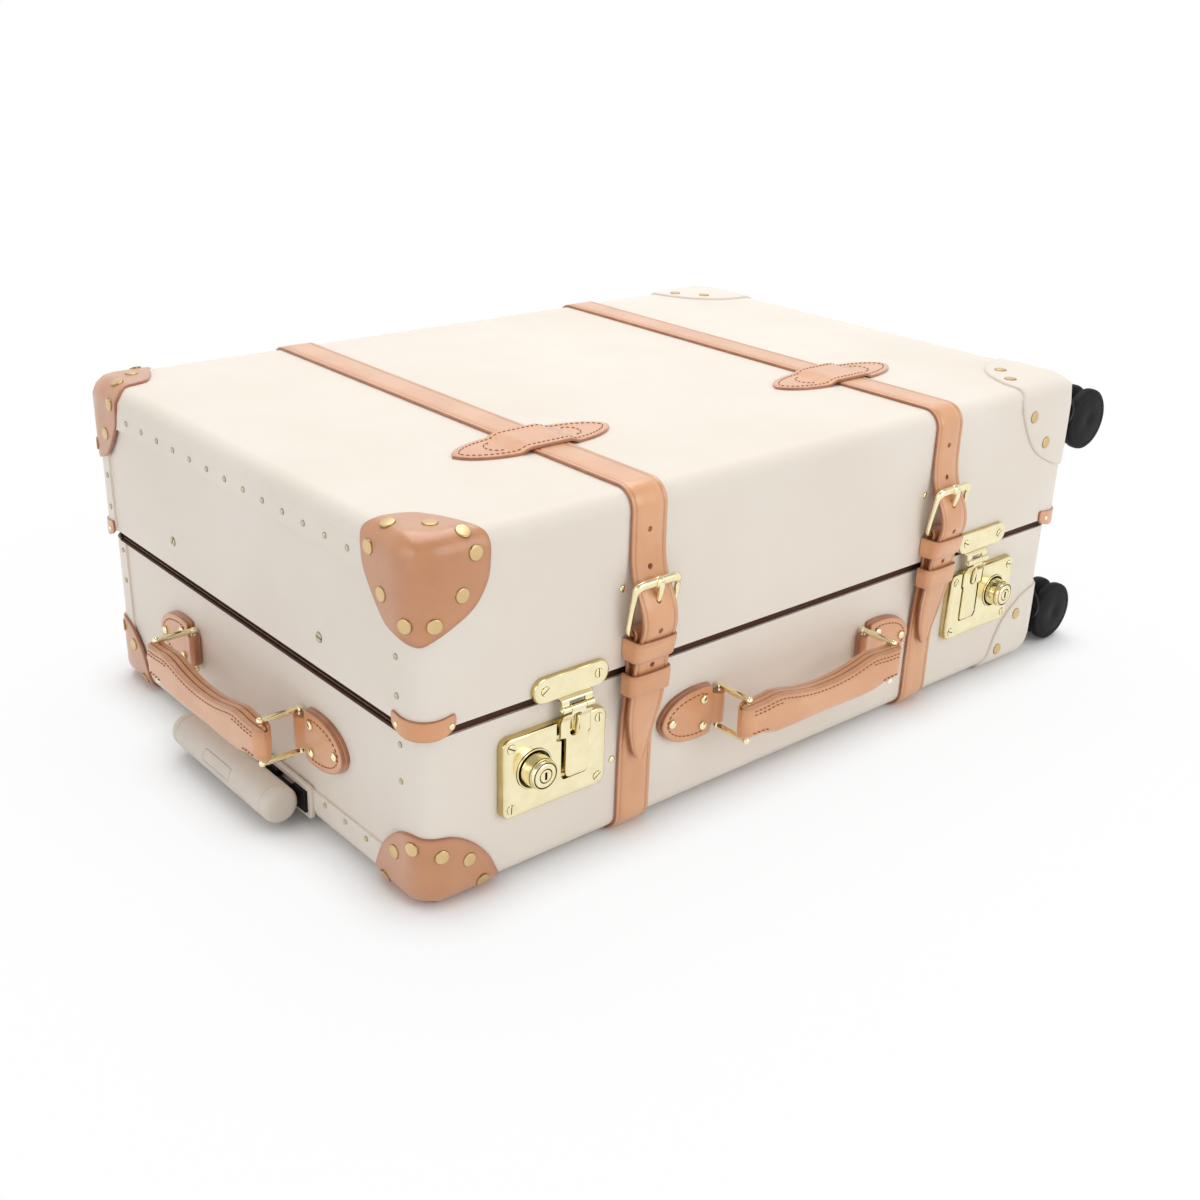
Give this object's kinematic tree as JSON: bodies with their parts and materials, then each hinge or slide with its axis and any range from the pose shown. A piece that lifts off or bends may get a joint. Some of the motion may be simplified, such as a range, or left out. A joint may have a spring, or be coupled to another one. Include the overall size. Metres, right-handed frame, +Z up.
{
  "type": "suitcase",
  "caption": "Hard-sided four-wheel suitcase with a hinged lid, leather straps and buckles, hasp locks, carry handles and a telescopic trolley handle.",
  "frame": {"origin": "middle of the underside of the base sheet; the straps under it touch the floor 2.4 mm lower", "axes": "+X along the length towards the wheel end, -Y towards the front with the locks, +Z up to the lid"},
  "size_m": [0.7084, 0.4639, 0.2401],
  "materials": {
    "ivory_fibre": "ivory coated fibre board, satin",
    "tan_leather": "smooth tan leather, satin, darker cut edges",
    "pale_brass": "pale brass plating, polished",
    "dark_rim": "dark brown covering, satin",
    "lining_cloth": "woven lining on thin board",
    "ivory_plastic": "ivory moulded plastic, satin",
    "black_plastic": "black moulded plastic",
    "wheel_rubber": "black rubber",
    "tube_metal": "satin anodised"
  },
  "bodies": {
    "base": {"base_shell": "ivory_fibre", "base_end_panels": "ivory_fibre", "base_rim": "dark_rim", "floor_board": "lining_cloth", "base_lining": "lining_cloth", "base_leather_caps": "tan_leather", "base_ivory_caps": "ivory_fibre", "base_tacks": "pale_brass", "base_rivets": "pale_brass", "base_hinge_leaves": "pale_brass", "hinge_pins": "pale_brass", "base_straps": "tan_leather", "buckle_frames": "pale_brass", "strap_loops": "tan_leather", "lock_bodies": "pale_brass", "lock_screws": "pale_brass", "handle_plates": "tan_leather", "trolley_fixed_tubes": "tube_metal", "trolley_bezel": "ivory_plastic", "trolley_cradle": "black_plastic", "base_caster_seats": "black_plastic"},
    "lid": {"lid_shell": "ivory_fibre", "lid_end_panels": "ivory_fibre", "lid_lining": "lining_cloth", "lid_leather_caps": "tan_leather", "lid_ivory_caps": "ivory_fibre", "seam_tabs": "tan_leather", "lid_tacks": "pale_brass", "lid_rivets": "pale_brass", "lid_hinge_leaves": "pale_brass", "lid_straps": "tan_leather", "strap_keepers": "tan_leather", "hasp_plates": "pale_brass", "lid_screws": "pale_brass", "lid_caster_seats": "black_plastic"},
    "hasp_left": {"hasp_flap_left": "pale_brass"},
    "hasp_right": {"hasp_flap_right": "pale_brass"},
    "knob_left": {"lock_knob_left": "pale_brass"},
    "knob_right": {"lock_knob_right": "pale_brass"},
    "prong_left": {"buckle_prong_left": "pale_brass"},
    "prong_right": {"buckle_prong_right": "pale_brass"},
    "front_ring_left": {"front_ring_left": "pale_brass"},
    "front_ring_right": {"front_ring_right": "pale_brass"},
    "front_grip": {"front_grip": "tan_leather"},
    "end_ring_back": {"end_ring_back": "pale_brass"},
    "end_ring_front": {"end_ring_front": "pale_brass"},
    "end_grip": {"end_grip": "tan_leather"},
    "trolley_middle": {"trolley_middle_tubes": "tube_metal"},
    "trolley_inner": {"trolley_inner_tubes": "tube_metal", "trolley_ferrules": "black_plastic", "trolley_grip": "ivory_plastic"},
    "trolley_button": {"trolley_button": "ivory_plastic"},
    "fork_lower_front": {"fork_lower_front": "black_plastic"},
    "wheel_lower_front": {"wheel_lower_front": "wheel_rubber"},
    "fork_lower_back": {"fork_lower_back": "black_plastic"},
    "wheel_lower_back": {"wheel_lower_back": "wheel_rubber"},
    "fork_upper_front": {"fork_upper_front": "black_plastic"},
    "wheel_upper_front": {"wheel_upper_front": "wheel_rubber"},
    "fork_upper_back": {"fork_upper_back": "black_plastic"},
    "wheel_upper_back": {"wheel_upper_back": "wheel_rubber"}
  },
  "joints": [
    {"name": "lid_hinge", "type": "hinge", "parent": "base", "child": "lid", "pos_m": [0, 0.2158, 0.1163], "axis": [-1, 0, 0], "range_deg": [0, 100]},
    {"name": "hasp_left_hinge", "type": "hinge", "parent": "lid", "child": "hasp_left", "pos_m": [-0.198, -0.2145, 0.107], "axis": [-1, 0, 0], "range_deg": [0, 150]},
    {"name": "knob_left_turn", "type": "hinge", "parent": "base", "child": "knob_left", "pos_m": [-0.229, -0.2123, 0.0736], "axis": [0, -1, 0], "range_deg": [0, 90]},
    {"name": "prong_left_hinge", "type": "hinge", "parent": "base", "child": "prong_left", "pos_m": [-0.1445, -0.2226, 0.1771], "axis": [-1, 0, 0], "range_deg": [0, 60]},
    {"name": "hasp_right_hinge", "type": "hinge", "parent": "lid", "child": "hasp_right", "pos_m": [0.198, -0.2145, 0.107], "axis": [-1, 0, 0], "range_deg": [0, 150]},
    {"name": "knob_right_turn", "type": "hinge", "parent": "base", "child": "knob_right", "pos_m": [0.229, -0.2123, 0.0736], "axis": [0, -1, 0], "range_deg": [0, 90]},
    {"name": "prong_right_hinge", "type": "hinge", "parent": "base", "child": "prong_right", "pos_m": [0.1445, -0.2226, 0.1771], "axis": [-1, 0, 0], "range_deg": [0, 60]},
    {"name": "front_handle_swing", "type": "hinge", "parent": "base", "child": "front_ring_left", "pos_m": [-0.073, -0.2112, 0.0666], "axis": [0, 0, 1], "range_deg": [-50, 50]},
    {"name": "front_ring_right_swing", "type": "hinge", "parent": "base", "child": "front_ring_right", "pos_m": [0.073, -0.2112, 0.0666], "axis": [0, 0, 1], "range_deg": [-50, 50]},
    {"name": "front_grip_pivot", "type": "hinge", "parent": "front_ring_left", "child": "front_grip", "pos_m": [-0.073, -0.2386, 0.0666], "axis": [0, 0, 1], "range_deg": [-50, 50]},
    {"name": "end_handle_swing", "type": "hinge", "parent": "base", "child": "end_ring_back", "pos_m": [-0.3084, 0.071, 0.0666], "axis": [0, 0, 1], "range_deg": [-50, 50]},
    {"name": "end_ring_front_swing", "type": "hinge", "parent": "base", "child": "end_ring_front", "pos_m": [-0.3084, -0.075, 0.0666], "axis": [0, 0, 1], "range_deg": [-50, 50]},
    {"name": "end_grip_pivot", "type": "hinge", "parent": "end_ring_back", "child": "end_grip", "pos_m": [-0.3358, 0.071, 0.0666], "axis": [0, 0, 1], "range_deg": [-50, 50]},
    {"name": "trolley_extend", "type": "slide", "parent": "base", "child": "trolley_middle", "axis": [-1, 0, 0], "range_m": [0, 0.205]},
    {"name": "trolley_second_stage", "type": "slide", "parent": "trolley_middle", "child": "trolley_inner", "axis": [-1, 0, 0], "range_m": [0, 0.205]},
    {"name": "trolley_button_press", "type": "slide", "parent": "trolley_inner", "child": "trolley_button", "axis": [0.9272, 0, -0.3746], "range_m": [0, 0.002]},
    {"name": "swivel_lower_front", "type": "hinge", "parent": "base", "child": "fork_lower_front", "pos_m": [0.3104, -0.192, 0.0356], "axis": [1, 0, 0], "continuous": true},
    {"name": "spin_lower_front", "type": "hinge", "parent": "fork_lower_front", "child": "wheel_lower_front", "pos_m": [0.3376, -0.192, 0.0236], "axis": [0, 1, 0], "continuous": true},
    {"name": "swivel_lower_back", "type": "hinge", "parent": "base", "child": "fork_lower_back", "pos_m": [0.3104, 0.192, 0.0356], "axis": [1, 0, 0], "continuous": true},
    {"name": "spin_lower_back", "type": "hinge", "parent": "fork_lower_back", "child": "wheel_lower_back", "pos_m": [0.3376, 0.192, 0.0236], "axis": [0, 1, 0], "continuous": true},
    {"name": "swivel_upper_front", "type": "hinge", "parent": "lid", "child": "fork_upper_front", "pos_m": [0.3146, -0.192, 0.2036], "axis": [1, 0, 0], "continuous": true},
    {"name": "spin_upper_front", "type": "hinge", "parent": "fork_upper_front", "child": "wheel_upper_front", "pos_m": [0.3418, -0.192, 0.1916], "axis": [0, 1, 0], "continuous": true},
    {"name": "swivel_upper_back", "type": "hinge", "parent": "lid", "child": "fork_upper_back", "pos_m": [0.3146, 0.192, 0.2036], "axis": [1, 0, 0], "continuous": true},
    {"name": "spin_upper_back", "type": "hinge", "parent": "fork_upper_back", "child": "wheel_upper_back", "pos_m": [0.3418, 0.192, 0.1916], "axis": [0, 1, 0], "continuous": true}
  ],
  "couplings": [
    {"joint": "front_ring_right_swing", "follows": "front_handle_swing", "ratio": 1},
    {"joint": "front_grip_pivot", "follows": "front_handle_swing", "ratio": -1},
    {"joint": "end_ring_front_swing", "follows": "end_handle_swing", "ratio": 1},
    {"joint": "end_grip_pivot", "follows": "end_handle_swing", "ratio": -1},
    {"joint": "trolley_second_stage", "follows": "trolley_extend", "ratio": 1}
  ]
}
